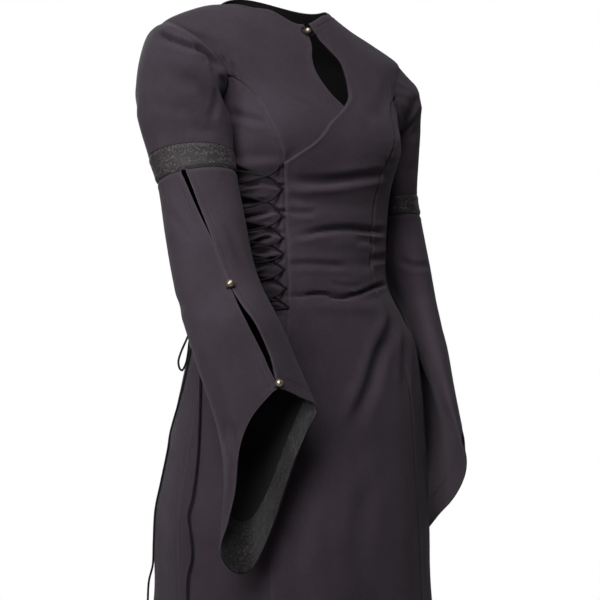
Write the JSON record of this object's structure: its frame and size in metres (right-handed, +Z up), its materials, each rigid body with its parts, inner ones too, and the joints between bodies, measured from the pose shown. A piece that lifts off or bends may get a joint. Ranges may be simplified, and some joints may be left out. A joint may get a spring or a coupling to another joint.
{
  "type": "laced drop-sleeve gown",
  "caption": "Floor-length medieval-style gown in the worn form, with a wrapped bust, a keyhole neck, side lacing and drop sleeves with brocade bands.",
  "frame": {"origin": "between the wearer's shoulders, about 20 mm below the side neck points, where the wearer holds it", "axes": "+Z up along the body, the wearer faces -Y, the wearer's left is +X"},
  "size_m": [0.5272, 0.4712, 1.4332],
  "materials": {
    "cotton": "matte charcoal cotton",
    "brocade": "woven silvery brocade",
    "lace": "dark braided cord",
    "bead": "pale gold bead"
  },
  "bodies": {
    "root": {"front_panel": "cotton", "right_bust_panel": "cotton", "right_side_panel": "cotton", "left_side_panel": "cotton", "back_panel": "cotton", "upper_sleeve_right": "cotton", "upper_sleeve_left": "cotton", "lower_sleeve_right": "cotton", "lower_sleeve_left": "cotton", "arm_band_right": "brocade", "arm_band_left": "brocade", "cuff_trim_right": "brocade", "cuff_trim_left": "brocade", "cuff_bead_right_1": "bead", "cuff_bead_right_2": "bead", "cuff_bead_left_1": "bead", "cuff_bead_left_2": "bead", "neck_bead": "bead", "neck_loop": "lace", "lacing_over": "lace", "lacing_under": "lace", "lace_knot": "lace", "bow_loop_back": "lace", "bow_loop_front": "lace", "lace_end_back": "lace", "lace_end_front": "lace"}
  },
  "joints": []
}
